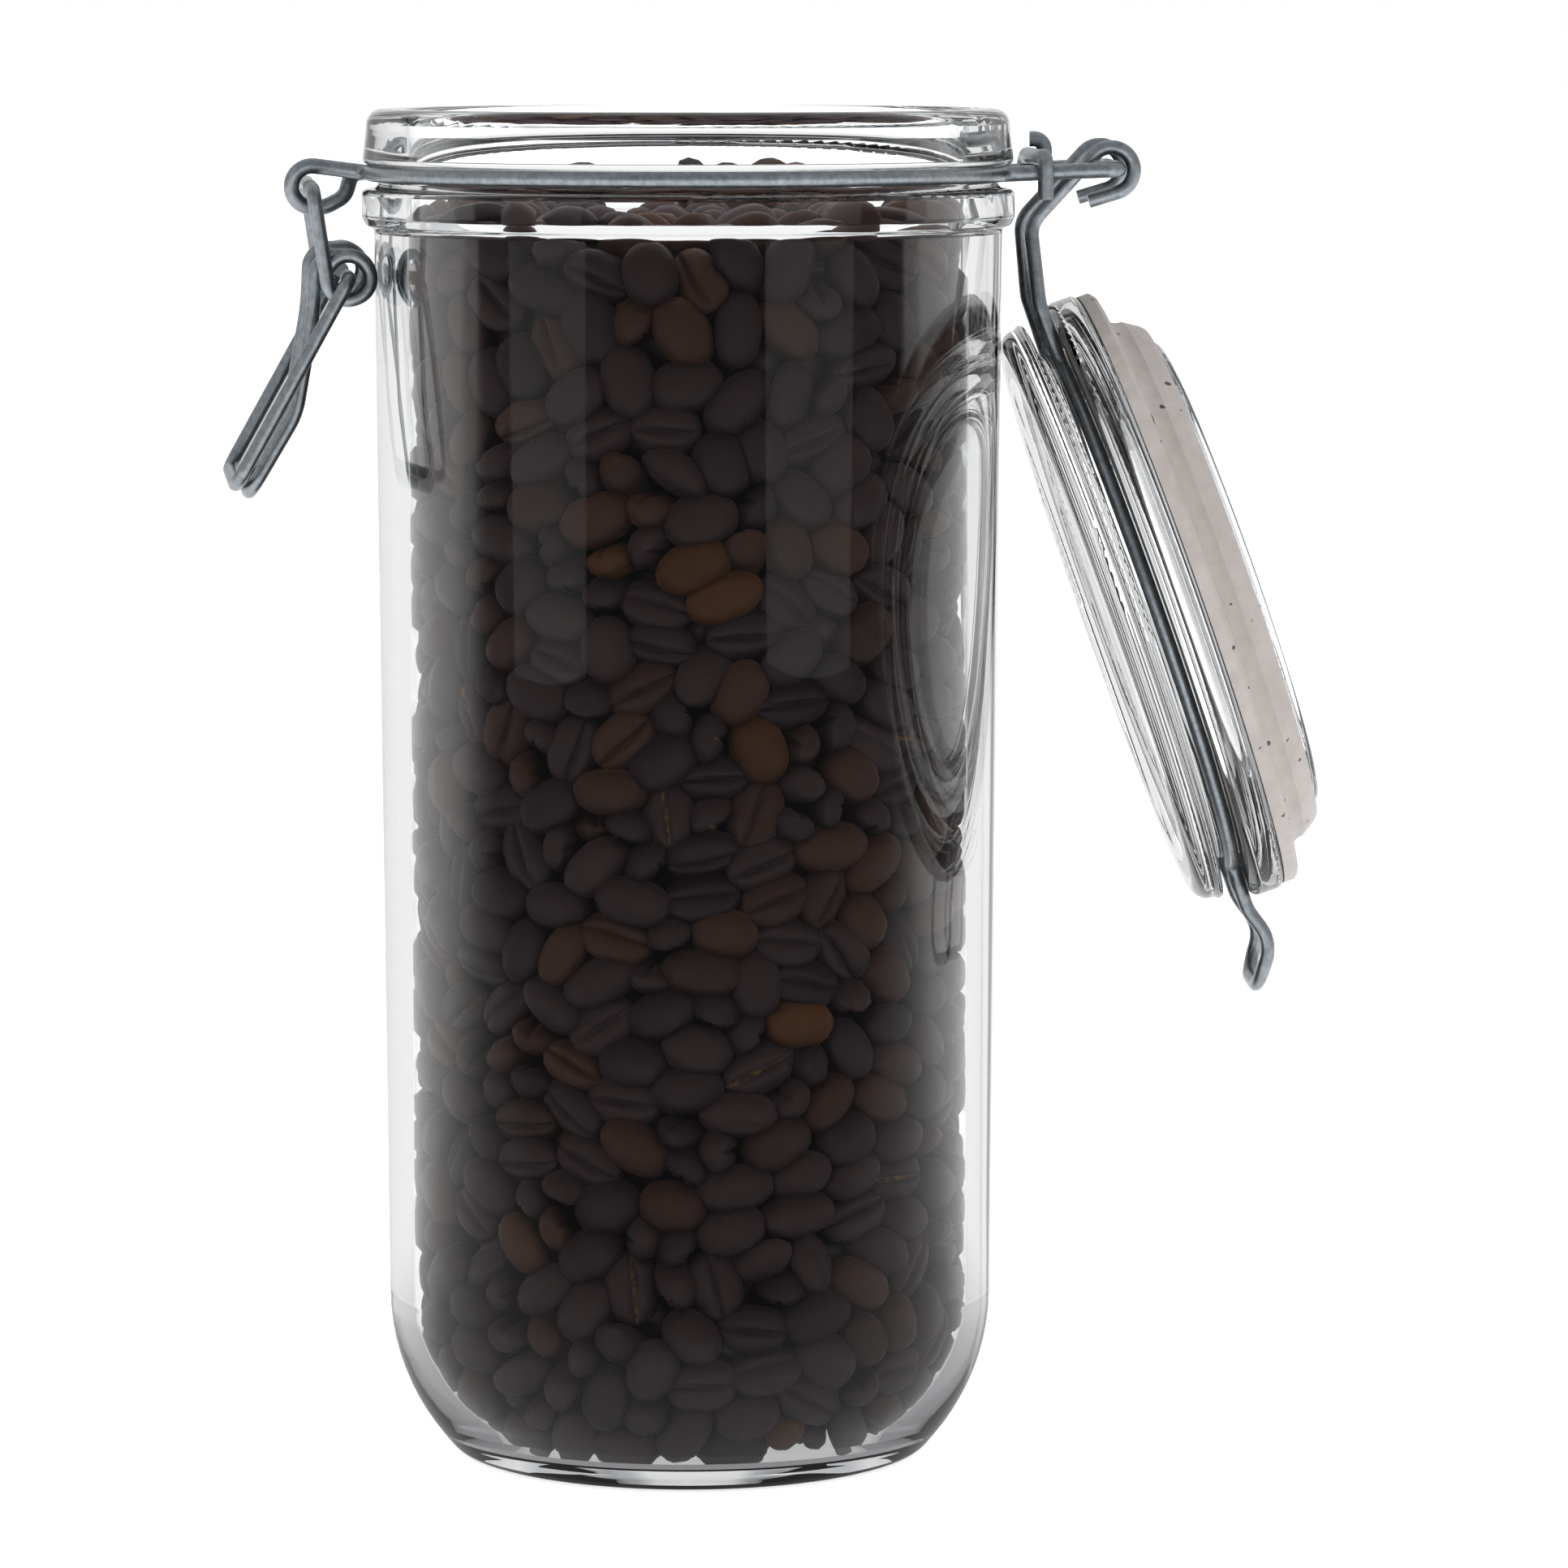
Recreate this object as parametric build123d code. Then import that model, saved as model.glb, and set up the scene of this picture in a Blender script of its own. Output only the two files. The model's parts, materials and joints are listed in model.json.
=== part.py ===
from build123d import *
import math
import os

# Clip-top storage jar: a glass jar, a glass lid with a rubber gasket, and bent steel wires.
# Millimetres, +Z up, origin at the centre of the base, hinge on +X, latch on -X.
# The stored pose is open: the lid hangs on the +X side and the latch hangs on the -X side.

# ---- jar ----
JAR_HEIGHT = 208.0
MOUTH_RADIUS = 43.2
BODY_RADIUS_TOP = 48.25
BODY_RADIUS_LOW = 46.75
SHOULDER_Z = 189.7
BAND_RADIUS = 50.15
BAND_LOW_Z = 190.9
BAND_TOP_Z = 195.8
RIM_RADIUS = 49.5
RIM_RADIUS_LOW = 50.05
RIM_EDGE = 2.5
FLOOR = 4.4
FOOT_RADIUS = 36.6
HEEL_HEIGHT = 12.1
HEEL_ROUND = 34.5
INNER_HEEL_HEIGHT = 14.5
INNER_HEEL_ROUND = 28.0
INNER_FLOOR_RADIUS = 34.7

# ---- neck wire ----
NECK_WIRE = 2.4
NECK_Z = JAR_HEIGHT - 9.8
NECK_RING_RADIUS = 48.9
GROOVE_PLAY = 0.15
EYE_X = -57.4
EYE_Z = NECK_Z - 1.9
EYE_BEND = 3.4
HINGE_X = 65.2
HINGE_Z = JAR_HEIGHT - 9.1
HINGE_HALF_WIDTH = 13.6
HINGE_SIDE_ANGLE = -24.0
TIE_X = 53.8
TIE_DROP = 3.8
WIRE_PLAY = 0.1
EYE_IN_ANGLE = -174.8
EYE_OUT_ANGLE = 171.7
FAR_END_ANGLE = 16.0
END_HOOK_X = 55.2
END_HOOK_Y = 6.0

# ---- lid and gasket, heights measured from the face the gasket lies on ----
FLANGE_RADIUS = 48.6
FLANGE_TOP = 5.4
LID_GROOVE_RADIUS = 41.3
PLATE_LOW = 9.4
PLATE_STEP = 10.3
PLATE_TOP = 13.7
PLATE_RADIUS = 47.0
PLATE_EDGE = 3.2
DISH_RADIUS = 37.5
DISH_DEPTH = 1.6
PLUG_RADIUS = 38.3
PLUG_DEPTH = 9.6
HOLLOW_RADIUS = 33.5
HOLLOW_TOP = 4.5
GASKET_RADIUS = 48.1
GASKET_THICKNESS = 2.4
GASKET_DEPTH = 8.2
GASKET_COVE = 2.9
COVE_RADIUS = 45.1
COLLAR_END_RADIUS = 40.7
SEAT_GAP = 0.05

# ---- lid bail, the wire that carries the lid ----
BAIL_WIRE = 2.2
BAIL_RING_RADIUS = 42.5
BAIL_HEIGHT = 6.6
HOOK_HALF_WIDTH = 10.5
LEG_HALF_WIDTH = 14.0
HOOK_ROUND = 3.5
HOOK_SHIFT = (-1.0, -0.2)
BAIL_FRONT_ANGLE = -163.0
KNEE = (-13.3, -8.4)
TAIL_HEADING = -163.3
TAIL_LENGTH = 4.6
NOSE_HALF_WIDTH = 8.2
NOSE_REACH = 61.6
NOSE_DIP = 1.9
NOSE_RISE = 2.4

# ---- latch, x and z measured from the lever's own pivot bar ----
LATCH_WIRE = 2.2
PIVOT_X = -58.1
PIVOT_Z = EYE_Z - 0.1
LATCH_YAW = 4.7
LATCH_ROLL = 1.5
COIL_X = 5.3
COIL_Z = -13.4
COIL_ROUND = 3.3
LEVER_HALF_WIDTH = 12.2
HANDLE_HALF_WIDTH = 9.9
HANDLE_X = -9.9
HANDLE_Z = -46.3
CATCH_HALF_WIDTH = 14.8
CATCH_LENGTH = 35.8
CATCH_REST_ANGLE = 240.9

# ---- motion ----
LID_TILT = 19.4
OPEN_ANGLE = 270.0 - LID_TILT
SEAT_Z = JAR_HEIGHT + GASKET_THICKNESS + SEAT_GAP
HINGE_AXIS = Axis((HINGE_X, 0, HINGE_Z), (0, 1, 0))


def turned(points, radii):
    """Solid of revolution about Z of a closed outline of (radius, height) points."""
    with BuildPart() as part:
        with BuildSketch(Plane.XZ):
            with BuildLine():
                FilletPolyline(*points, radius=radii, close=True)
            make_face()
        revolve(axis=Axis.Z)
    return part.part


def bent_wire(path, diameter):
    """Round wire of one diameter along a tangent-continuous path."""
    section = Plane(origin=path @ 0, z_dir=path % 0) * Circle(diameter / 2)
    return sweep(section, path=path)


def arc_corners(centre, radius, start, turn, steps):
    """Corners of the open polygon drawn round an arc, as (x, z), with turn in degrees."""
    step = turn / steps
    reach = radius / math.cos(math.radians(step / 2))
    angles = [math.radians(start + step * (k + 0.5)) for k in range(steps)]
    return [(centre[0] + reach * math.cos(a), centre[1] + reach * math.sin(a)) for a in angles]


def ring_arc(radius, z, start, end):
    """Arc of a level ring between two compass angles, in degrees from +X."""
    middle = (start + end) / 2
    points = [(radius * math.cos(math.radians(a)), radius * math.sin(math.radians(a)), z)
              for a in (start, middle, end)]
    return ThreePointArc(*points)


def on_tangent(radius, angle, distance, z):
    """Point on the tangent of a level ring, so far past the given angle (anticlockwise)."""
    a = math.radians(angle)
    x = radius * math.cos(a) - distance * math.sin(a)
    y = radius * math.sin(a) + distance * math.cos(a)
    return (x, y, z)


def bend_distance(radius, angle, half_width):
    """How far along the tangent past the given angle a wire bends to run level with +X or -X."""
    a = math.radians(angle)
    return (radius * math.sin(-a) - half_width) / math.cos(a)


def make_jar():
    rim_under = NECK_Z + NECK_WIRE / 2 + GROOVE_PLAY
    bottom = NECK_RING_RADIUS - NECK_WIRE / 2 - WIRE_PLAY
    outline = [
        ((0, 0), 0),
        ((FOOT_RADIUS, 0), 3.0),
        ((BODY_RADIUS_LOW, HEEL_HEIGHT), HEEL_ROUND),
        ((BODY_RADIUS_TOP, SHOULDER_Z), 1.0),
        ((BAND_RADIUS - 0.6, SHOULDER_Z + 0.6), 0.5),
        ((BAND_RADIUS, BAND_LOW_Z + 0.6), 0.7),
        ((BAND_RADIUS, BAND_TOP_Z), 0.9),
        ((bottom, BAND_TOP_Z), 1.2),
        ((bottom, rim_under), 1.2),
        ((RIM_RADIUS_LOW, rim_under), 0.8),
        ((RIM_RADIUS, JAR_HEIGHT - 4.0), 3.0),
        ((RIM_RADIUS - 0.3, JAR_HEIGHT), RIM_EDGE),
        ((MOUTH_RADIUS, JAR_HEIGHT), 1.9),
        ((MOUTH_RADIUS, INNER_HEEL_HEIGHT), INNER_HEEL_ROUND),
        ((INNER_FLOOR_RADIUS, FLOOR), 3.0),
        ((0, FLOOR), 0),
    ]
    return turned([point for point, _ in outline], [r for _, r in outline])


def corner_path(corners):
    """Straight runs with rounded corners, from (point, corner radius) pairs."""
    radii = [radius for _, radius in corners[1:-1]]
    return FilletPolyline(*[point for point, _ in corners], radius=radii)


def joined(pieces):
    """One wire from path pieces that follow each other."""
    return Wire([edge for piece in pieces for edge in piece.edges()])


def make_neck_wire():
    """One wire: tie, hinge loop, near side of the neck, latch eye, far side, end hook."""
    side = HINGE_HALF_WIDTH
    over = NECK_Z + NECK_WIRE + WIRE_PLAY
    twice_over = over + NECK_WIRE + WIRE_PLAY
    tie_end_y = -side - NECK_WIRE - 0.3
    ring = NECK_RING_RADIUS
    rear, eye_in, eye_out, far_end = HINGE_SIDE_ANGLE, EYE_IN_ANGLE, EYE_OUT_ANGLE, FAR_END_ANGLE
    hinge_loop = [
        ((TIE_X, tie_end_y, NECK_Z - TIE_DROP), 0),
        ((TIE_X, tie_end_y, over + 0.2), 1.7),
        ((TIE_X - 0.6, -side + 2.0, over), 6.0),
        ((TIE_X - 1.1, side - 4.1, over), 3.5),
        ((TIE_X - 1.4, side, NECK_Z + 0.1), 1.8),
        ((HINGE_X, side, HINGE_Z), 2.0),
        ((HINGE_X, -side, HINGE_Z), 2.0),
        (on_tangent(ring, rear, bend_distance(ring, rear, side), NECK_Z), 3.0),
        (on_tangent(ring, rear, 0, NECK_Z), 0),
    ]
    eye = [
        (on_tangent(ring, eye_in, 0, NECK_Z), 0),
        (on_tangent(ring, eye_in, -3.0, NECK_Z), 2.2),
        ((EYE_X - EYE_BEND, -1.35, EYE_Z + EYE_BEND), 3.2),
        ((EYE_X - EYE_BEND, -0.5, EYE_Z - EYE_BEND), 3.2),
        ((EYE_X + 1.6, 0.4, EYE_Z - EYE_BEND), 4.0),
        ((EYE_X + 4.7, 1.0, EYE_Z - 1.8), 3.0),
        ((EYE_X + 5.7, 2.0, NECK_Z - 0.2), 1.9),
        (on_tangent(ring, eye_out, 2.9, NECK_Z), 2.4),
        (on_tangent(ring, eye_out, 0, NECK_Z), 0),
    ]
    end_hook = [
        (on_tangent(ring, far_end, 0, NECK_Z), 0),
        (on_tangent(ring, far_end, -7.5, NECK_Z), 2.4),
        ((END_HOOK_X, END_HOOK_Y, NECK_Z), 1.8),
        ((END_HOOK_X, END_HOOK_Y, twice_over), 1.6),
        ((END_HOOK_X - 2.3, END_HOOK_Y, twice_over), 0),
    ]
    path = joined([
        corner_path(hinge_loop),
        ring_arc(ring, NECK_Z, rear, eye_in),
        corner_path(eye),
        ring_arc(ring, NECK_Z, eye_out, far_end),
        corner_path(end_hook),
    ])
    return bent_wire(path, NECK_WIRE)


def make_lid_glass():
    outline = [
        ((0, HOLLOW_TOP), 0),
        ((HOLLOW_RADIUS - 2.0, HOLLOW_TOP), 5.0),
        ((HOLLOW_RADIUS, -PLUG_DEPTH), 1.2),
        ((PLUG_RADIUS - 0.4, -PLUG_DEPTH), 1.6),
        ((PLUG_RADIUS, 0), 0),
        ((FLANGE_RADIUS, 0), 1.2),
        ((FLANGE_RADIUS, FLANGE_TOP), 1.6),
        ((LID_GROOVE_RADIUS, FLANGE_TOP), 1.2),
        ((LID_GROOVE_RADIUS, PLATE_LOW), 1.2),
        ((PLATE_RADIUS, PLATE_LOW), 0.6),
        ((PLATE_RADIUS, PLATE_STEP), 0.3),
        ((PLATE_RADIUS - 0.4, PLATE_STEP + 0.3), 0.3),
        ((PLATE_RADIUS - 0.4, PLATE_TOP), PLATE_EDGE - 0.5),
        ((DISH_RADIUS + 2.4, PLATE_TOP), 1.5),
        ((DISH_RADIUS, PLATE_TOP - DISH_DEPTH), 2.5),
        ((0, PLATE_TOP - DISH_DEPTH), 0),
    ]
    return turned([point for point, _ in outline], [r for _, r in outline])


def make_gasket():
    low, chamfer, bore = -GASKET_THICKNESS, 0.6, PLUG_RADIUS + 0.05
    with BuildPart() as part:
        with BuildSketch(Plane.XZ):
            with BuildLine():
                collar = (COVE_RADIUS - GASKET_COVE, low - GASKET_COVE)
                Polyline((COVE_RADIUS, low), (GASKET_RADIUS - chamfer, low), (GASKET_RADIUS, low + chamfer),
                         (GASKET_RADIUS, 0), (bore, 0), (bore, -GASKET_DEPTH),
                         (COLLAR_END_RADIUS - chamfer, -GASKET_DEPTH),
                         (COLLAR_END_RADIUS, -GASKET_DEPTH + chamfer), collar)
                RadiusArc(collar, (COVE_RADIUS, low), GASKET_COVE)
            make_face()
        revolve(axis=Axis.Z)
    return part.part


def hook_corners():
    """Lid bail hook in the closed pose, (x, z) from the hinge: tail, round corners, knee."""
    shift = Vector(*HOOK_SHIFT)
    knee = Vector(*KNEE)
    to_hook = shift - knee
    tangent = math.degrees(math.asin(HOOK_ROUND / to_hook.length))
    leg_heading = math.degrees(math.atan2(to_hook.Y, to_hook.X)) + tangent
    turn = TAIL_HEADING - leg_heading
    corners = arc_corners((shift.X, shift.Y), HOOK_ROUND, leg_heading + 90, turn, 4)
    last = math.radians(TAIL_HEADING + 90)
    tail_start = (shift.X + HOOK_ROUND * math.cos(last), shift.Y + HOOK_ROUND * math.sin(last))
    tail = (tail_start[0] + TAIL_LENGTH * math.cos(math.radians(TAIL_HEADING)),
            tail_start[1] + TAIL_LENGTH * math.sin(math.radians(TAIL_HEADING)))
    open_pose = [(knee.X, knee.Y)] + corners + [tail]
    closing = math.radians(-OPEN_ANGLE)
    return [(x * math.cos(closing) + z * math.sin(closing),
             z * math.cos(closing) - x * math.sin(closing)) for x, z in open_pose]


def make_bail():
    """One wire in the closed pose: hook, leg, ring round the lid, nose, ring, leg, hook."""
    ring, height = BAIL_RING_RADIUS, SEAT_Z + BAIL_HEIGHT
    rear, front = HINGE_SIDE_ANGLE, BAIL_FRONT_ANGLE
    hook = [(HINGE_X + x, HINGE_Z + z) for x, z in hook_corners()]
    knee, bends, tail = hook[0], hook[1:-1], hook[-1]
    y = -HOOK_HALF_WIDTH
    near_leg = [((tail[0], y, tail[1]), 0)]
    near_leg += [((x, y, z), HOOK_ROUND - 0.06) for x, z in reversed(bends)]
    near_leg += [
        ((knee[0], y - 0.3, knee[1]), 4.5),
        ((50.0, -LEG_HALF_WIDTH + 0.5, height), 6.0),
        (on_tangent(ring, rear, bend_distance(ring, rear, LEG_HALF_WIDTH), height), 3.0),
        (on_tangent(ring, rear, 0, height), 0),
    ]
    near_nose = [
        (on_tangent(ring, front, 0, height), 0),
        (on_tangent(ring, front, bend_distance(ring, front, NOSE_HALF_WIDTH), height), 2.6),
        ((-49.5, -NOSE_HALF_WIDTH, height), 8.0),
        ((-55.5, -NOSE_HALF_WIDTH, height - NOSE_DIP), 6.0),
        ((-NOSE_REACH, -NOSE_HALF_WIDTH, height + NOSE_RISE), 4.5),
        ((-NOSE_REACH, 0, height + NOSE_RISE), 0),
    ]
    near = joined([corner_path(near_leg), ring_arc(ring, height, rear, front), corner_path(near_nose)])
    half = bent_wire(near, BAIL_WIRE)
    return half.fuse(half.mirror(Plane.XZ)).clean()


def latch_place():
    """Where the latch hangs: its pivot bar lies in the neck eye, turned a little."""
    return Location((PIVOT_X, 0, PIVOT_Z), (0, 0, LATCH_YAW)) * Location((0, 0, 0), (LATCH_ROLL, 0, 0))


def make_lever():
    """One wire: pivot bar, leg, coil eye, handle leg, handle bar, and back the same way."""
    span = math.hypot(COIL_X, COIL_Z)
    leg_heading = math.degrees(math.atan2(COIL_Z, COIL_X) - math.asin(COIL_ROUND / span))
    start = leg_heading - 90
    turn = 450 - 360 * math.floor((start + 360) / 360) - start
    coil = arc_corners((COIL_X, COIL_Z), COIL_ROUND, start, turn, 6)
    shift = LEVER_HALF_WIDTH - HANDLE_HALF_WIDTH
    y_at = [-LEVER_HALF_WIDTH + shift * k / 6 for k in range(7)]
    top = COIL_Z + COIL_ROUND
    near = [((0, 0, 0), 0), ((0, -LEVER_HALF_WIDTH, 0), 2.2)]
    near += [((x, y_at[k], z), COIL_ROUND - 0.12) for k, (x, z) in enumerate(coil)]
    near += [
        ((0.4, -HANDLE_HALF_WIDTH, top), 3.2),
        ((0.0, -HANDLE_HALF_WIDTH, -19.0), 40.0),
        ((-2.7, -HANDLE_HALF_WIDTH, -34.2), 12.0),
        ((HANDLE_X, -HANDLE_HALF_WIDTH, HANDLE_Z), 3.2),
        ((HANDLE_X, 0, HANDLE_Z), 0),
    ]
    half = bent_wire(joined([corner_path(near)]), LATCH_WIRE)
    return (latch_place() * half.fuse(half.mirror(Plane.XZ))).clean()


def make_catch():
    """One wire: end in a coil eye, leg, bar that hooks over the nose, leg, other end."""
    angle = math.radians(CATCH_REST_ANGLE)
    bar_x = COIL_X + CATCH_LENGTH * math.cos(angle)
    bar_z = COIL_Z + CATCH_LENGTH * math.sin(angle)
    near = [
        ((COIL_X, -HANDLE_HALF_WIDTH + 1.6, COIL_Z), 0),
        ((COIL_X, -CATCH_HALF_WIDTH, COIL_Z), 1.6),
        ((bar_x, -CATCH_HALF_WIDTH, bar_z), 3.0),
        ((bar_x, 0, bar_z), 0),
    ]
    half = bent_wire(joined([corner_path(near)]), LATCH_WIRE)
    return (latch_place() * half.fuse(half.mirror(Plane.XZ))).clean()


def opened(shape):
    """Turn a lid piece from the closed pose to the stored open pose."""
    return shape.rotate(HINGE_AXIS, OPEN_ANGLE)


def build_nodes():
    on_jar = Location((0, 0, SEAT_Z))
    return {
        "jar": make_jar(),
        "neck_wire": make_neck_wire(),
        "lid_glass": opened(on_jar * make_lid_glass()),
        "lid_gasket": opened(on_jar * make_gasket()),
        "lid_bail": opened(make_bail()),
        "closing_lever": make_lever(),
        "catch_loop": make_catch(),
    }


os.makedirs("parts", exist_ok=True)
for name, shape in build_nodes().items():
    shape.label = name
    export_step(shape, f"parts/{name}.step")
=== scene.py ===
import json
import math

import bpy
import numpy as np
from mathutils import Matrix, Vector
from mathutils.bvhtree import BVHTree
from mathutils.kdtree import KDTree


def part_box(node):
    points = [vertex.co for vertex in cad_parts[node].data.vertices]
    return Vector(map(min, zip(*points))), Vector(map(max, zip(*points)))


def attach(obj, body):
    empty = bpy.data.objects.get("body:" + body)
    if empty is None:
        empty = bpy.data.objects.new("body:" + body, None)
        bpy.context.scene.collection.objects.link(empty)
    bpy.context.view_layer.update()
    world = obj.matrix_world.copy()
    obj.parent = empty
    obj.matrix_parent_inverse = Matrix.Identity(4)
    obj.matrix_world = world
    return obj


# Looks of a clip-top glass storage jar. Metres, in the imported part's frame: +Z up, the jar's
# base at the origin, hinge and hanging lid on +X, latch on -X. The coffee beans are contents
# shown only here: they ride on the jar and can be left out without touching the part.

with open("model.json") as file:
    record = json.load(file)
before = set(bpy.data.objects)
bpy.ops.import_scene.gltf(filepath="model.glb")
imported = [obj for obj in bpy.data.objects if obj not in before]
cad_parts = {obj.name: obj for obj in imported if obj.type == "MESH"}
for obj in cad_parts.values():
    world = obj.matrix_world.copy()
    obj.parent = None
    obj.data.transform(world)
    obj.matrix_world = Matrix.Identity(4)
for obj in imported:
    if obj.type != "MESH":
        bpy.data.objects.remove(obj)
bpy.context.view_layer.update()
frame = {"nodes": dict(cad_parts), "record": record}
record = frame["record"]


def body_holding(node):
    """Name of the body that carries a CAD node."""
    return next(body for body, nodes in record["behaviour"]["bodies"].items() if node in nodes)


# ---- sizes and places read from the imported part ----
JAR_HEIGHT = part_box("jar")[1].z
MOUTH = next(m for m in record["mounts"] if m["name"] == "mouth")
WALL_RADIUS = MOUTH["dims"]["r_mm"] / 1000
LID_JOINT = next(j for j in record["behaviour"]["joints"] if j["name"] == "lid_turn")
LID_CENTRE = Vector(LID_JOINT["pos_m"])
LID_AXIS = Vector(LID_JOINT["axis"]).normalized()
LID_BODY = body_holding("lid_gasket")
JAR_BODY = body_holding("jar")

# ---- camera ----
# It looks from VIEW_DISTANCE, moved aside and down from a target just under the jar's top.
VIEW_DISTANCE = 1.0216
VIEW_AZIMUTH = -2.0
VIEW_PITCH = 6.54
VIEW_LENS = 152.8
VIEW_SENSOR = 36.0
VIEW_SIDE = 0.0147
VIEW_DROP = 0.0974
VIEW_TARGET_BELOW_TOP = 0.0063
VIEW_CLIP = (0.01, 50.0)

# ---- floor and room ----
# Colour ramps are lists of (position, colour). DEPTH_STOPS and MIRROR_STOPS run from the front
# of the room to its back, as seen through glass and as mirrored by it. On the floor a metre
# of depth is FLOOR_FADE[0] of the ramp, and the jar stands at FLOOR_FADE[1].
FLOOR_SIZE = 40.0
FLOOR_DROP = 0.0003
FLOOR_COLOUR = (0.95, 0.95, 0.95)
FLOOR_GLOW = 0.7
FLOOR_FADE = (1.6, 0.56)
PANELS_AROUND = 8.0
ROOM_GREY = (0.62, 0.63, 0.65)
WHITE = (1.0, 1.0, 1.0)
PANEL_STOPS = [(0.08, ROOM_GREY), (0.45, WHITE)]
DEPTH_STOPS = [(0.30, ROOM_GREY), (0.60, WHITE)]
MIRROR_STOPS = [
    (0.27, (0.05, 0.05, 0.056)),
    (0.50, (0.24, 0.24, 0.25)),
    (0.80, (0.88, 0.88, 0.88)),
]

# ---- soft lights: name, place, width and height, radiance, seen in reflections ----
SOFT_LIGHTS = [
    ("key_left", (-0.47, -0.47, 0.42), (0.62, 0.80), 1.4, False),
    ("key_right", (0.47, -0.44, 0.42), (0.62, 0.80), 1.4, False),
    ("key_top", (0.0, -0.1, 1.3), (1.0, 1.0), 1.2, False),
    ("sheen_left", (-0.52, -0.40, 0.42), (0.40, 0.80), 0.34, True),
    ("sheen_right", (0.46, -0.50, 0.42), (0.46, 0.80), 0.34, True),
]

# ---- glass, wire and gasket ----
# Noises are (cycles per metre, detail, roughness).
GLASS_COLOUR = (0.985, 0.992, 0.992)
GLASS_IOR = 1.5
GLASS_SHADOW = (0.93, 0.93, 0.93)
JAR_WAVES = (55.0, 1.5, 0.4)
LID_WAVES = (120.0, 1.5, 0.4)
WAVE_STRETCH = (1, 1, 0.35)
WAVE_STRENGTH = 0.05
WAVE_DEPTH = 0.001
WIRE_ROUGHNESS = 0.36
WIRE_MOTTLE = (900.0, 3.0, 0.6)
WIRE_STOPS = [(0.30, (0.155, 0.17, 0.18)), (0.70, (0.25, 0.27, 0.285))]
WIRE_GRAIN = (2600.0, 2.0, 0.6)
WIRE_GRAIN_STRENGTH = 0.12
RUBBER_ROUGHNESS = 0.55
RUBBER_MOTTLE = (260.0, 3.0, 0.6)
RUBBER_STOPS = [(0.35, (0.275, 0.247, 0.232)), (0.65, (0.315, 0.288, 0.275))]
RUBBER_GRAIN = (1800.0, 2.0, 0.6)
RUBBER_GRAIN_STRENGTH = 0.1
SPECKS = (620.0, 0.0, 0.5)
SPECK_STOPS = [(0.79, (0, 0, 0)), (0.81, (1, 1, 1))]
SPECK_COLOUR = (0.03, 0.025, 0.02)
GRAIN_DEPTH = 0.0002

# ---- gasket seen through the lid ----
CONTACT_DEPTH = 0.00006
CONTACT_INSET = 0.0002
CONTACT_TURNS = 160

# ---- coffee beans: shape, size and number ----
# A bean's detail is (rows along it, columns over its dome, places across its flat side).
SEED = 7
BEAN_LENGTH = 0.0110
BEAN_WIDTH = 0.0080
BEAN_HEIGHT = 0.0056
DOME_SHARE = 0.62
FLAT_SHARE = 0.36
BLUNTNESS = 2.4
GROOVE_DEPTH = 0.20
GROOVE_WIDTH = 0.11
GROOVE_SWAY = 0.07
GROOVE_TURN = 2.2
GROOVE_FADE = 1.6
CREASE_REACH = 0.1
FINE_BEAN = (10, 6, (-0.8, -0.42, -0.2, -0.08, 0.0, 0.08, 0.2, 0.42, 0.8))
PLAIN_BEAN = (6, 4, (-0.6, -0.15, 0.0, 0.15, 0.6))
SIZE_SPREAD = 0.06
SIZE_LIMITS = (0.85, 1.15)
FILL_COUNT = 1740
FILL_HEIGHT = 0.1944
FLOOR_HEIGHT = 0.0046
WALL_RINGS = 90
GLASS_PLAY = 0.00025

# ---- coffee beans: the heap. A bean settles as three balls in a row ----
BEAN_BALL = 0.0031
BALL_SPACING = (BEAN_LENGTH - BEAN_WIDTH) / 2 + 0.0004
WALL_PLAY = 0.0032
ROUNDS = 120
ROUNDS_PER_SEARCH = 4
SEARCH_REACH = 2.6
PUSH_SHARE = 0.32
OUTWARD_PULL = 0.00022
DOWNWARD_SHARE = 0.2
LEVELLING = 0.985
AXIS_TILT = 0.55
TINY = 1e-9

# ---- coffee beans: how each one lies, and its roast ----
BY_WALL = 0.011
FACING_SHARES = [0.62, 0.38]
FACING_SPREAD = 0.30
SEEN_FROM_SIDE = 0.0075
SEEN_FROM_TOP = 0.009
CHAFF_SHARE = 0.16
ROAST_SHARES = [0.76, 0.205, 0.035]
BEAN_COLOURS = [
    ((0.0185, 0.0112, 0.0118), (0.048, 0.0285, 0.0285)),
    ((0.036, 0.0190, 0.0150), (0.068, 0.034, 0.023)),
    ((0.065, 0.029, 0.0125), (0.120, 0.050, 0.019)),
]
BEAN_ROUGHNESS = 0.46
BEAN_SPECULAR = 0.14
BEAN_WRINKLES = (420.0, 2.0, 0.5)
WRINKLE_STRENGTH = 0.12
WRINKLE_DEPTH = 0.0004
CHAFF_ROUGHNESS = 0.7
CHAFF_PATCHES = (700.0, 2.0, 0.6)
CHAFF_STOPS = [(0.40, (0.035, 0.022, 0.015)), (0.60, (0.20, 0.12, 0.045))]

# ---- dark middle of the heap: painted shade for the beans deeper in, behind those that show ----
CORE_RADIUS = 0.030
CORE_LOW = 0.016
CORE_HIGH = 0.179
CORE_SWELL = 0.0012
CORE_TURNS = 40
CORE_LEVELS = 44
# Painted shade: the core is near-black, darker than any bean, for the beans in deep shade inside
# the heap.
PAINTED_SHADE_COLOUR = (0.012, 0.008, 0.007)
CORE_ROUGHNESS = 0.9
LUMP_HEIGHT = 0.0012
LUMPS_AROUND = 7
LUMP_TWIST = 330
LUMP_RISE = 410


def new_material(name):
    """A new material with its node tree and its Principled shader."""
    material = bpy.data.materials.new(name)
    material.use_nodes = True
    return material, material.node_tree, material.node_tree.nodes["Principled BSDF"]


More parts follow.
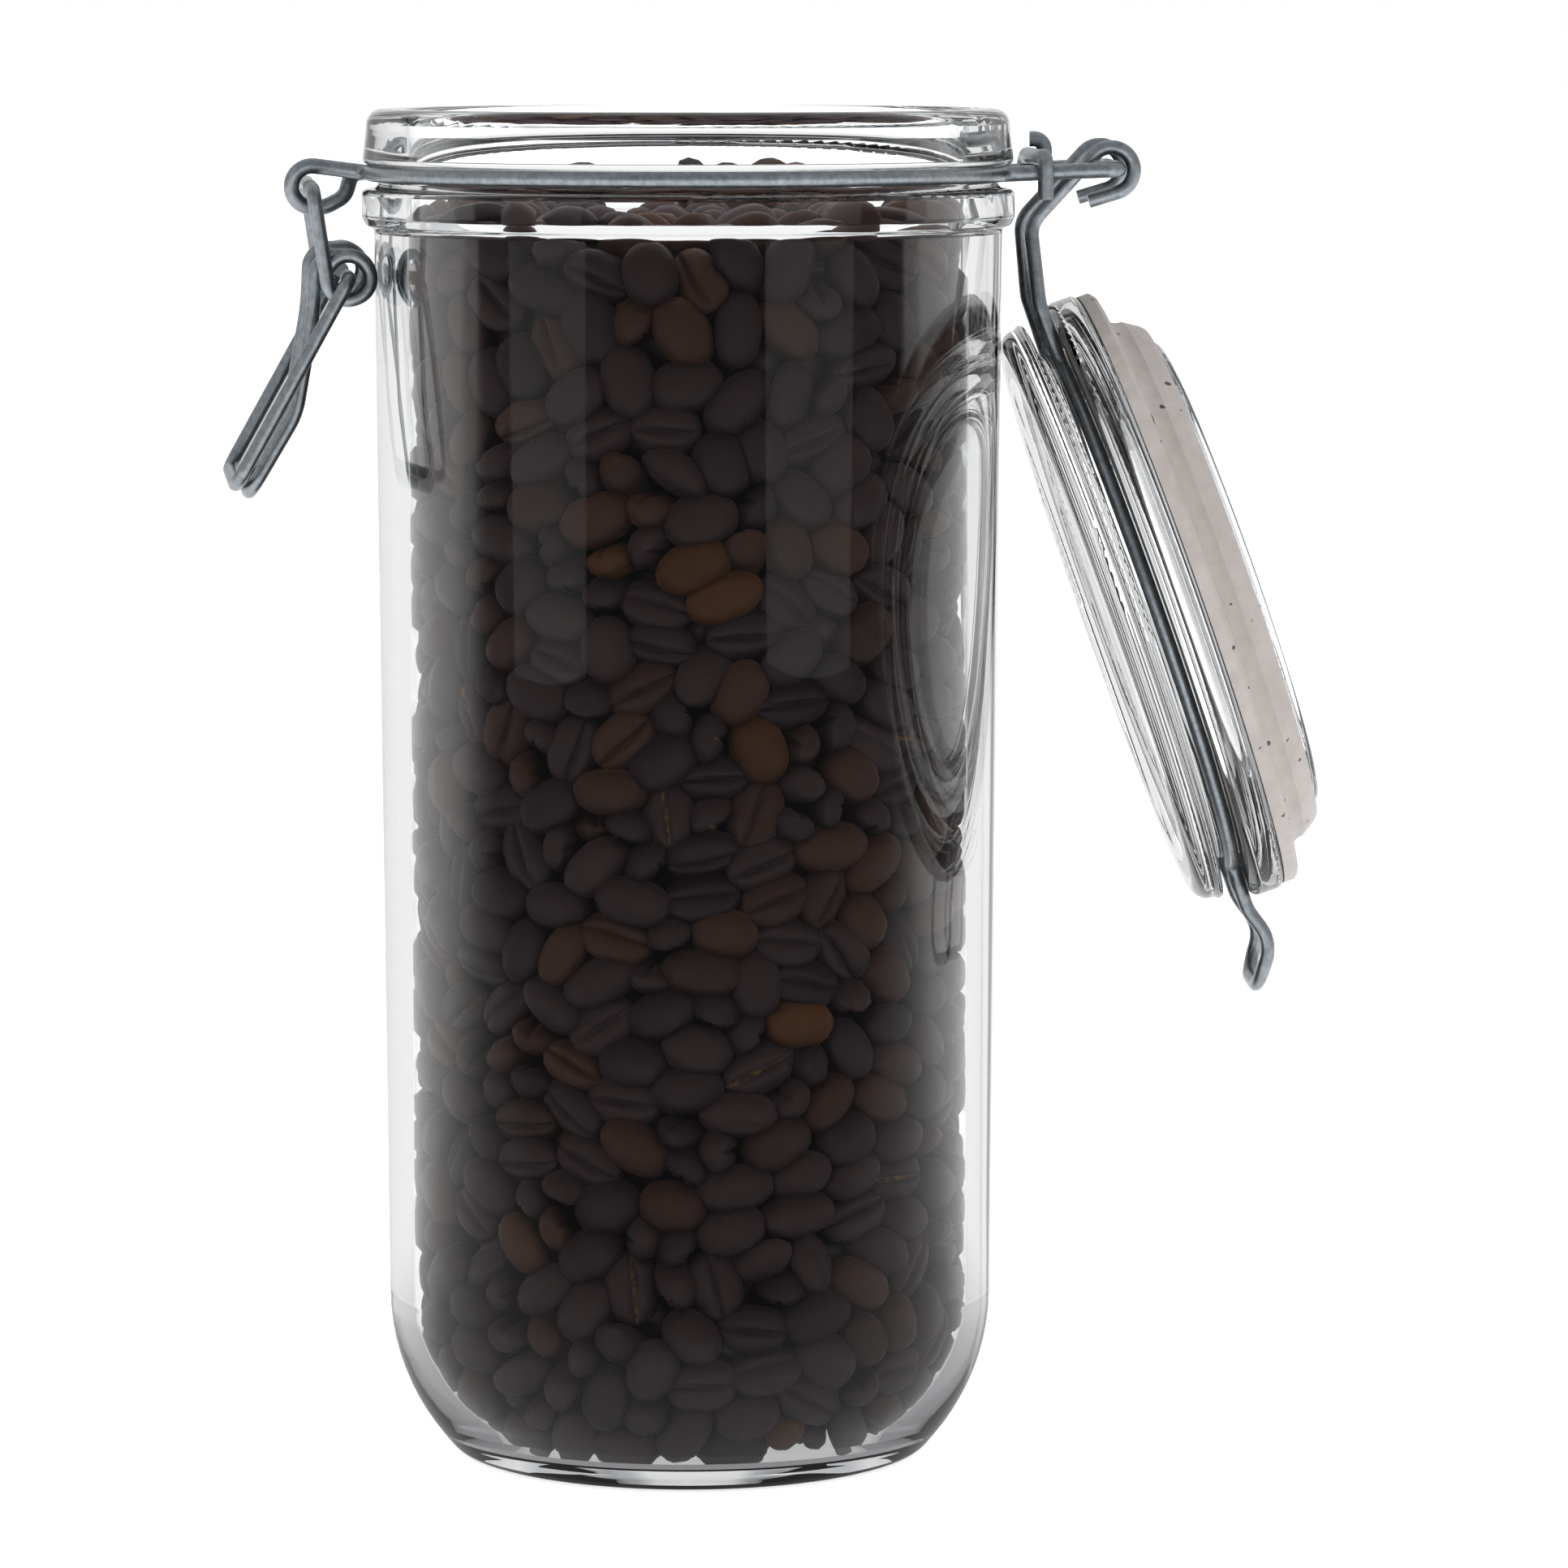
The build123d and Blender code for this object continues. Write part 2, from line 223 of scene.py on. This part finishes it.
def noise(tree, kind, stretch=(1, 1, 1)):
    """Noise texture in real-size coordinates; kind is (cycles per metre, detail, roughness)."""
    scale, detail, roughness = kind
    where = tree.nodes.new("ShaderNodeTexCoord")
    mapping = tree.nodes.new("ShaderNodeMapping")
    mapping.inputs["Scale"].default_value = stretch
    texture = tree.nodes.new("ShaderNodeTexNoise")
    texture.inputs["Scale"].default_value = scale
    texture.inputs["Detail"].default_value = detail
    texture.inputs["Roughness"].default_value = roughness
    tree.links.new(where.outputs["Object"], mapping.inputs["Vector"])
    tree.links.new(mapping.outputs["Vector"], texture.inputs["Vector"])
    return texture.outputs["Fac"]


def ramp(tree, factor, stops):
    """Colour ramp with (position, colour) stops."""
    node = tree.nodes.new("ShaderNodeValToRGB")
    while len(node.color_ramp.elements) < len(stops):
        node.color_ramp.elements.new(0.5)
    for element, (position, colour) in zip(node.color_ramp.elements, stops):
        element.position = position
        element.color = (*colour, 1)
    tree.links.new(factor, node.inputs["Fac"])
    return node.outputs["Color"]


def math_node(tree, operation, *values):
    """Math node; each value is a number or another node's output."""
    node = tree.nodes.new("ShaderNodeMath")
    node.operation = operation
    for socket, value in zip(node.inputs, values):
        if isinstance(value, float):
            socket.default_value = value
        else:
            tree.links.new(value, socket)
    return node.outputs[0]


def pick(tree, factor, first, second):
    """Colour mix: first where factor is 0, second where it is 1."""
    mix = tree.nodes.new("ShaderNodeMixRGB")
    for socket, value in zip(mix.inputs, (factor, first, second)):
        if isinstance(value, tuple):
            socket.default_value = (*value, 1)
        else:
            tree.links.new(value, socket)
    return mix.outputs[0]


def axes_of(tree, coords):
    """X, Y and Z outputs of a set of texture coordinates."""
    where = tree.nodes.new("ShaderNodeTexCoord")
    axes = tree.nodes.new("ShaderNodeSeparateXYZ")
    tree.links.new(where.outputs[coords], axes.inputs[0])
    return axes.outputs


def mirrored(tree):
    """1 where clear glass mirrors the room, 0 where light only went through the glass."""
    path = tree.nodes.new("ShaderNodeLightPath")
    was_mirrored = math_node(tree, "GREATER_THAN", path.outputs["Glossy Depth"], 0.5)
    return math_node(tree, "MULTIPLY", was_mirrored, path.outputs["Is Singular Ray"])


def bump(tree, shader, height, strength, distance):
    """Fine relief on a shader's normal."""
    node = tree.nodes.new("ShaderNodeBump")
    node.inputs["Strength"].default_value = strength
    node.inputs["Distance"].default_value = distance
    tree.links.new(height, node.inputs["Height"])
    tree.links.new(node.outputs["Normal"], shader.inputs["Normal"])


def swap_surface(tree, factor, shader, other, output_name):
    """Shows another shader in place of the Principled one where factor is 1."""
    mix = tree.nodes.new("ShaderNodeMixShader")
    surface = next(n for n in tree.nodes if n.type == "OUTPUT_MATERIAL").inputs["Surface"]
    tree.links.new(factor, mix.inputs[0])
    tree.links.new(shader.outputs["BSDF"], mix.inputs[1])
    tree.links.new(other.outputs[output_name], mix.inputs[2])
    tree.links.new(mix.outputs["Shader"], surface)


def glass_material(name, waves):
    """Clear pressed glass with faint waves. Lamps shine through it, so what is inside is lit."""
    material, tree, shader = new_material(name)
    shader.inputs["Base Color"].default_value = (*GLASS_COLOUR, 1)
    shader.inputs["Transmission Weight"].default_value = 1.0
    shader.inputs["Roughness"].default_value = 0.0
    shader.inputs["IOR"].default_value = GLASS_IOR
    bump(tree, shader, noise(tree, waves, WAVE_STRETCH), WAVE_STRENGTH, WAVE_DEPTH)
    path = tree.nodes.new("ShaderNodeLightPath")
    clear = tree.nodes.new("ShaderNodeBsdfTransparent")
    clear.inputs["Color"].default_value = (*GLASS_SHADOW, 1)
    swap_surface(tree, path.outputs["Is Shadow Ray"], shader, clear, "BSDF")
    return material


def steel_material():
    """Dull grey plated wire."""
    material, tree, shader = new_material("zinc_wire")
    shader.inputs["Metallic"].default_value = 1.0
    shader.inputs["Roughness"].default_value = WIRE_ROUGHNESS
    colour = ramp(tree, noise(tree, WIRE_MOTTLE), WIRE_STOPS)
    tree.links.new(colour, shader.inputs["Base Color"])
    bump(tree, shader, noise(tree, WIRE_GRAIN), WIRE_GRAIN_STRENGTH, GRAIN_DEPTH)
    return material


def rubber_material():
    """Pale grey-brown rubber with a few dark specks."""
    material, tree, shader = new_material("gasket_rubber")
    shader.inputs["Roughness"].default_value = RUBBER_ROUGHNESS
    colour = ramp(tree, noise(tree, RUBBER_MOTTLE), RUBBER_STOPS)
    specks = ramp(tree, noise(tree, SPECKS), SPECK_STOPS)
    tree.links.new(pick(tree, specks, colour, SPECK_COLOUR), shader.inputs["Base Color"])
    bump(tree, shader, noise(tree, RUBBER_GRAIN), RUBBER_GRAIN_STRENGTH, GRAIN_DEPTH)
    return material


def bean_material(name, kind):
    """Roasted bean: its own tone within the roast's colours, a dull sheen, fine wrinkles."""
    low, high = BEAN_COLOURS[kind]
    material, tree, shader = new_material(name)
    attribute = tree.nodes.new("ShaderNodeAttribute")
    attribute.attribute_name = "tone"
    colour = ramp(tree, attribute.outputs["Fac"], [(0.0, low), (1.0, high)])
    tree.links.new(colour, shader.inputs["Base Color"])
    shader.inputs["Roughness"].default_value = BEAN_ROUGHNESS
    shader.inputs["Specular IOR Level"].default_value = BEAN_SPECULAR
    bump(tree, shader, noise(tree, BEAN_WRINKLES), WRINKLE_STRENGTH, WRINKLE_DEPTH)
    return material


def chaff_material():
    """Pale silverskin left in the crease of some beans."""
    material, tree, shader = new_material("bean_chaff")
    shader.inputs["Roughness"].default_value = CHAFF_ROUGHNESS
    colour = ramp(tree, noise(tree, CHAFF_PATCHES), CHAFF_STOPS)
    tree.links.new(colour, shader.inputs["Base Color"])
    return material


def shade_core_material():
    """Painted shade: a near-black filling behind the beans that show, standing in for the shaded
    beans deeper in the heap.
    """
    material, _, shader = new_material("bean_shadow")
    shader.inputs["Base Color"].default_value = (*PAINTED_SHADE_COLOUR, 1)
    shader.inputs["Roughness"].default_value = CORE_ROUGHNESS
    shader.inputs["Specular IOR Level"].default_value = 0.0
    return material


def dress_nodes():
    """Gives each CAD node its one material."""
    steel = steel_material()
    looks = {
        "jar": glass_material("jar_glass", JAR_WAVES),
        "lid_glass": glass_material("lid_glass", LID_WAVES),
        "lid_gasket": rubber_material(),
        "neck_wire": steel,
        "lid_bail": steel,
        "closing_lever": steel,
        "catch_loop": steel,
    }
    for name, material in looks.items():
        mesh = frame["nodes"][name].data
        mesh.materials.clear()
        mesh.materials.append(material)
        for polygon in mesh.polygons:
            polygon.material_index = 0


def add_mesh(name, verts, faces, material, smooth=True):
    """A new mesh object with one material."""
    mesh = bpy.data.meshes.new(name)
    mesh.from_pydata([tuple(v) for v in verts], [], [tuple(f) for f in faces])
    mesh.polygons.foreach_set("use_smooth", [smooth] * len(mesh.polygons))
    mesh.materials.append(material)
    piece = bpy.data.objects.new(name, mesh)
    bpy.context.scene.collection.objects.link(piece)
    return piece


def inner_wall():
    """Heights and inner radii of the jar, measured by rays from its axis."""
    mesh = frame["nodes"]["jar"].data
    corners = [v.co for v in mesh.vertices]
    skin = BVHTree.FromPolygons(corners, [tuple(p.vertices) for p in mesh.polygons])
    heights = np.linspace(FLOOR_HEIGHT, FILL_HEIGHT, WALL_RINGS)
    off_the_seam = Vector((1.0, 0.02, 0.0))
    radii = [skin.ray_cast(Vector((0, 0, z)), off_the_seam)[3] for z in heights]
    return heights, np.array(radii)


def wall_radius(z):
    """Inner radius of the jar at a height."""
    return np.interp(z, *INNER_WALL)


def beside_core(z):
    """True at the heights where the core fills the middle of the heap."""
    return (z > CORE_LOW) & (z < CORE_HIGH)


def near_pairs(centres, reach):
    """Index pairs of balls of different beans that lie within reach of each other."""
    tree = KDTree(len(centres))
    for k, centre in enumerate(centres):
        tree.insert(centre, k)
    tree.balance()
    pairs = []
    for k, centre in enumerate(centres):
        bean = k // 3
        near = tree.find_range(centre, reach)
        pairs += [(k, j) for _, j, _ in near if j > k and j // 3 != bean]
    return np.array(pairs)


def pushed_apart(balls, pairs):
    """How far each ball moves so that it overlaps its neighbours less."""
    shift = np.zeros_like(balls)
    gap = balls[pairs[:, 0]] - balls[pairs[:, 1]]
    dist = np.linalg.norm(gap, axis=1) + TINY
    push = np.maximum(0.0, 2 * BEAN_BALL - dist) * PUSH_SHARE
    move = gap / dist[:, None] * push[:, None]
    for k in range(3):
        shift[:, k] += np.bincount(pairs[:, 0], move[:, k], len(balls))
        shift[:, k] -= np.bincount(pairs[:, 1], move[:, k], len(balls))
    return shift


def kept_inside(placed):
    """The balls' places, held between the core and the wall, and the floor and the fill line."""
    low, high = FLOOR_HEIGHT + WALL_PLAY, FILL_HEIGHT - WALL_PLAY
    placed[:, 2] = np.clip(placed[:, 2], low, high)
    radius = np.hypot(placed[:, 0], placed[:, 1]) + TINY
    limit = wall_radius(placed[:, 2]) - WALL_PLAY
    nearest = np.where(beside_core(placed[:, 2]), CORE_RADIUS, 0.0)
    placed[:, :2] *= (np.clip(radius, nearest, limit) / radius)[:, None]
    return placed


def settle(centre, axis, rounds):
    """Pushes the beans apart and a little down, and out to the wall beside the core."""
    offsets = np.array([-1.0, 0.0, 1.0]) * BALL_SPACING
    for turn in range(rounds):
        balls = (centre[:, None, :] + axis[:, None, :] * offsets[None, :, None]).reshape(-1, 3)
        if turn % ROUNDS_PER_SEARCH == 0:
            pairs = near_pairs(balls, SEARCH_REACH * BEAN_BALL)
        shift = pushed_apart(balls, pairs)
        pull = OUTWARD_PULL * (1 - turn / rounds)
        radius = np.hypot(balls[:, 0], balls[:, 1]) + TINY
        outward = balls[:, :2] / radius[:, None]
        shift[:, :2] += outward * pull * beside_core(balls[:, 2])[:, None]
        shift[:, 2] -= DOWNWARD_SHARE * pull
        placed = kept_inside(balls + shift).reshape(-1, 3, 3)
        centre = placed.mean(axis=1)
        axis = placed[:, 2] - placed[:, 0]
        axis[:, 2] *= LEVELLING
        axis /= np.linalg.norm(axis, axis=1)[:, None] + TINY
    return centre, axis


def scatter(rng, count):
    """Random start places in the space between the core and the jar's wall, floor and fill line."""
    places = []
    while len(places) < count:
        x, y = rng.uniform(-WALL_RADIUS, WALL_RADIUS, 2)
        z = rng.uniform(FLOOR_HEIGHT + WALL_PLAY, FILL_HEIGHT - WALL_PLAY)
        radius = math.hypot(x, y)
        in_core = beside_core(z) and radius < CORE_RADIUS
        if radius < float(wall_radius(z)) - WALL_PLAY and not in_core:
            places.append((x, y, z))
    return np.array(places)


def bean_shape(rows, dome, flat):
    """One bean of unit size: long axis X, domed side +Z, flat creased side -Z.

    Gives its vertices, its faces, and whether each face lies in the crease."""
    along = np.cos(np.linspace(math.pi, 0, rows + 1))[1:-1]
    ring = [(math.cos(a), math.sin(a), 0.0) for a in np.linspace(0, math.pi, dome + 1)]
    ring += [(y, -math.sqrt(1 - y * y), 1.0) for y in flat]
    verts = [(-1.0, 0, 0)]
    for t in along:
        swell = (1 - abs(t) ** BLUNTNESS) ** 0.5
        crease_line = GROOVE_SWAY * math.sin(GROOVE_TURN * t)
        for y, z, under in ring:
            groove = under * math.exp(-((y - crease_line) / GROOVE_WIDTH) ** 2)
            height = z * (DOME_SHARE if z > 0 else FLAT_SHARE)
            lift = GROOVE_DEPTH * groove * swell ** GROOVE_FADE
            verts.append((t, y * swell, height * swell + lift))
    verts.append((1.0, 0, 0))
    n = len(ring)
    faces = [(0, 1 + (k + 1) % n, 1 + k) for k in range(n)]
    in_crease = [False] * n
    for row in range(len(along) - 1):
        start = 1 + row * n
        for k in range(n):
            j = (k + 1) % n
            faces.append((start + k, start + j, start + n + j, start + n + k))
            at_middle = abs(ring[k][0] + ring[j][0]) < CREASE_REACH
            in_crease.append(at_middle and ring[k][2] > 0 and ring[j][2] > 0)
    last, end = 1 + (len(along) - 1) * n, len(verts) - 1
    faces += [(last + k, last + (k + 1) % n, end) for k in range(n)]
    return np.array(verts), faces, in_crease + [False] * n


def bean_frames(rng, centre, axis):
    """Rotation of each bean: its long axis as settled, its dome or flat side to the glass or up."""
    up = np.zeros_like(centre)
    radius = np.hypot(centre[:, 0], centre[:, 1]) + TINY
    by_wall = radius > WALL_RADIUS - BY_WALL
    up[by_wall, :2] = centre[by_wall, :2] / radius[by_wall, None]
    up[~by_wall, 2] = 1.0
    up *= rng.choice([1.0, -1.0], len(centre), p=FACING_SHARES)[:, None]
    up += rng.normal(0, FACING_SPREAD, up.shape)
    side = np.cross(up, axis)
    side /= np.linalg.norm(side, axis=1)[:, None] + TINY
    up = np.cross(axis, side)
    return np.stack([axis, side, up], axis=1)


def inside_glass(points):
    """A bean's points, drawn in where they would reach the jar's wall or floor."""
    reach = np.hypot(points[:, 0], points[:, 1])
    limit = wall_radius(points[:, 2]) - GLASS_PLAY
    points[:, :2] *= np.minimum(1.0, limit / (reach + TINY))[:, None]
    points[:, 2] = np.maximum(points[:, 2], FLOOR_HEIGHT)
    return points


def bean_meshes(rng, centre, axis):
    """Builds the bean pieces, one mesh for each group, joined from many single beans."""
    fine, plain = bean_shape(*FINE_BEAN), bean_shape(*PLAIN_BEAN)
    frames = bean_frames(rng, centre, axis)
    count = len(centre)
    size = np.array([BEAN_LENGTH / 2, BEAN_WIDTH / 2, BEAN_HEIGHT / (DOME_SHARE + FLAT_SHARE)])
    scale = size * rng.normal(1.0, SIZE_SPREAD, (count, 3)).clip(*SIZE_LIMITS)
    radius = np.hypot(centre[:, 0], centre[:, 1])
    by_glass = radius > wall_radius(centre[:, 2]) - SEEN_FROM_SIDE
    seen = by_glass | (centre[:, 2] > FILL_HEIGHT - SEEN_FROM_TOP)
    roast = rng.choice(3, count, p=ROAST_SHARES)
    chaff = chaff_material()
    low = centre[:, 2] < FILL_HEIGHT / 2
    groups = (
        ("coffee_beans_dark_low", 0, low),
        ("coffee_beans_dark_high", 0, ~low),
        ("coffee_beans_medium", 1, True),
        ("coffee_beans_light", 2, True),
    )
    for name, kind, part in groups:
        verts, faces, tones, golden, start = [], [], [], [], 0
        for k in np.flatnonzero((roast == kind) & part):
            shape, quads, in_crease = fine if seen[k] else plain
            chaffy = rng.random() < CHAFF_SHARE
            points = inside_glass((shape * scale[k]) @ frames[k] + centre[k])
            verts.append(points)
            faces += [tuple(start + v for v in quad) for quad in quads]
            golden += [chaffy and crease for crease in in_crease]
            tones += [rng.random()] * len(points)
            start += len(points)
        piece = add_mesh(name, np.concatenate(verts), faces, bean_material(name, kind))
        piece.data.materials.append(chaff)
        piece.data.polygons.foreach_set("material_index", [int(g) for g in golden])
        tone = piece.data.attributes.new("tone", "FLOAT", "POINT")
        tone.data.foreach_set("value", np.array(tones, np.float32))
        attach(piece, JAR_BODY)


def painted_shade_core():
    """Dark lumpy middle of the heap, so no light comes through between the outer beans; its
    near-black colour is painted shade for the beans deeper in.
    """
    verts = []
    for level in range(CORE_LEVELS + 1):
        z = CORE_LOW + (CORE_HIGH - CORE_LOW) * level / CORE_LEVELS
        for step in range(CORE_TURNS):
            angle = 2 * math.pi * step / CORE_TURNS
            twist = math.sin(LUMPS_AROUND * angle + LUMP_TWIST * z)
            lump = LUMP_HEIGHT * twist * math.cos(LUMP_RISE * z)
            reach = CORE_RADIUS + CORE_SWELL + lump
            verts.append((reach * math.cos(angle), reach * math.sin(angle), z))
    faces = []
    for level in range(CORE_LEVELS):
        low, high = level * CORE_TURNS, (level + 1) * CORE_TURNS
        for step in range(CORE_TURNS):
            j = (step + 1) % CORE_TURNS
            faces.append((low + step, low + j, high + j, high + step))
    faces.append(tuple(range(CORE_TURNS - 1, -1, -1)))
    faces.append(tuple(CORE_LEVELS * CORE_TURNS + step for step in range(CORE_TURNS)))
    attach(add_mesh("coffee_beans_shade_core", verts, faces, shade_core_material()), JAR_BODY)


def fill_jar():
    """The heap of beans, settled and dressed."""
    rng = np.random.default_rng(SEED)
    centre = scatter(rng, FILL_COUNT)
    axis = rng.normal(0, 1, (FILL_COUNT, 3)) * (1, 1, AXIS_TILT)
    axis /= np.linalg.norm(axis, axis=1)[:, None]
    centre, axis = settle(centre, axis, ROUNDS)
    bean_meshes(rng, centre, axis)
    painted_shade_core()


def gasket_contact():
    """The gasket's face as it shows through the flange it is pressed on, just inside the glass."""
    gasket = frame["nodes"]["lid_gasket"].data
    arms = [vertex.co - LID_CENTRE for vertex in gasket.vertices]
    heights = np.array([arm.dot(LID_AXIS) for arm in arms])
    radii = np.array([(arm - LID_AXIS * arm.dot(LID_AXIS)).length for arm in arms])
    at_face = radii[np.abs(heights - heights.max()) < CONTACT_DEPTH]
    across = LID_AXIS.orthogonal().normalized()
    along = LID_AXIS.cross(across)
    middle = LID_CENTRE + LID_AXIS * (heights.max() + CONTACT_DEPTH)
    verts = []
    for reach in (at_face.min() + CONTACT_INSET, at_face.max() - CONTACT_INSET):
        for step in range(CONTACT_TURNS):
            angle = 2 * math.pi * step / CONTACT_TURNS
            sideways = middle + across * reach * math.cos(angle)
            verts.append(sideways + along * reach * math.sin(angle))
    faces = []
    for k in range(CONTACT_TURNS):
        j = (k + 1) % CONTACT_TURNS
        faces.append((k, CONTACT_TURNS + k, CONTACT_TURNS + j, j))
    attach(add_mesh("lid_gasket_contact", verts, faces, gasket.materials[0]), LID_BODY)


def stage_scene():
    """Pale level floor, dimmer in front where glass mirrors it."""
    material, tree, shader = new_material("floor_white")
    shader.inputs["Base Color"].default_value = (*FLOOR_COLOUR, 1)
    shader.inputs["Roughness"].default_value = 1.0
    shader.inputs["Specular IOR Level"].default_value = 0.0
    shader.inputs["Emission Color"].default_value = (*WHITE, 1)
    shader.inputs["Emission Strength"].default_value = FLOOR_GLOW
    material.cycles.emission_sampling = "NONE"
    dim = tree.nodes.new("ShaderNodeEmission")
    away = math_node(tree, "MULTIPLY_ADD", axes_of(tree, "Object")["Y"], *FLOOR_FADE)
    tree.links.new(ramp(tree, away, MIRROR_STOPS), dim.inputs["Color"])
    swap_surface(tree, mirrored(tree), shader, dim, "Emission")
    half, low = FLOOR_SIZE / 2, -FLOOR_DROP
    corners = [(-half, -half, low), (half, -half, low), (half, half, low), (-half, half, low)]
    add_mesh("floor", corners, [(0, 1, 2, 3)], material, smooth=False)


def soft_box(name, place, size, radiance, reflected):
    """Rectangular soft light of a given brightness, turned to the jar's axis."""
    data = bpy.data.lights.new(name, "AREA")
    data.shape = "RECTANGLE"
    data.size, data.size_y = size
    data.energy = radiance * math.pi * size[0] * size[1]
    light = bpy.data.objects.new(name, data)
    light.location = place
    target = Vector((0, 0, min(place[2], JAR_HEIGHT)))
    direction = target - Vector(place)
    light.rotation_euler = direction.to_track_quat("-Z", "Y").to_euler()
    light.visible_camera = False
    light.visible_transmission = False
    light.visible_glossy = reflected
    bpy.context.scene.collection.objects.link(light)


def light_world():
    """White room behind the jar, dim in front of it, with grey gaps to draw the glass edges."""
    world = bpy.data.worlds.new("studio")
    world.use_nodes = True
    tree = world.node_tree
    axes = axes_of(tree, "Generated")
    turn = math_node(tree, "ARCTAN2", axes["X"], axes["Y"])
    wave = math_node(tree, "COSINE", math_node(tree, "MULTIPLY", turn, PANELS_AROUND))
    panels = ramp(tree, math_node(tree, "MULTIPLY_ADD", wave, 0.5, 0.5), PANEL_STOPS)
    away = math_node(tree, "MULTIPLY_ADD", axes["Y"], 0.5, 0.5)
    in_glass, in_mirror = ramp(tree, away, DEPTH_STOPS), ramp(tree, away, MIRROR_STOPS)
    room = tree.nodes.new("ShaderNodeMixRGB")
    room.blend_type = "MULTIPLY"
    room.inputs[0].default_value = 1.0
    tree.links.new(panels, room.inputs[1])
    tree.links.new(pick(tree, mirrored(tree), in_glass, in_mirror), room.inputs[2])
    path = tree.nodes.new("ShaderNodeLightPath")
    shown = pick(tree, path.outputs["Is Camera Ray"], room.outputs[0], WHITE)
    tree.links.new(shown, tree.nodes["Background"].inputs["Color"])
    bpy.context.scene.world = world


def light_scene():
    """The room and its soft lights."""
    light_world()
    for light in SOFT_LIGHTS:
        soft_box(*light)
    bpy.context.scene.cycles.caustics_refractive = False
    bpy.context.scene.cycles.caustics_reflective = False


def place_camera():
    """Camera a little above the rim, turned slightly, with a long lens."""
    azimuth, pitch = math.radians(VIEW_AZIMUTH), math.radians(VIEW_PITCH)
    level = math.cos(pitch)
    back = Vector((math.sin(azimuth) * level, -math.cos(azimuth) * level, math.sin(pitch)))
    right = Vector((math.cos(azimuth), math.sin(azimuth), 0))
    up = back.cross(right)
    data = bpy.data.cameras.new("camera")
    data.lens = VIEW_LENS
    data.sensor_width = VIEW_SENSOR
    data.clip_start, data.clip_end = VIEW_CLIP
    camera = bpy.data.objects.new("camera", data)
    target = Vector((0, 0, JAR_HEIGHT - VIEW_TARGET_BELOW_TOP))
    camera.matrix_world = Matrix((right, up, back)).transposed().to_4x4()
    camera.location = target + right * VIEW_SIDE - up * VIEW_DROP + back * VIEW_DISTANCE
    bpy.context.scene.collection.objects.link(camera)
    bpy.context.scene.camera = camera


def colour_management():
    """Plain display colours."""
    view = bpy.context.scene.view_settings
    view.view_transform = "Standard"
    view.look = "None"
    view.exposure = 0.0


dress_nodes()
INNER_WALL = inner_wall()
gasket_contact()
fill_jar()
stage_scene()
light_scene()
place_camera()
colour_management()
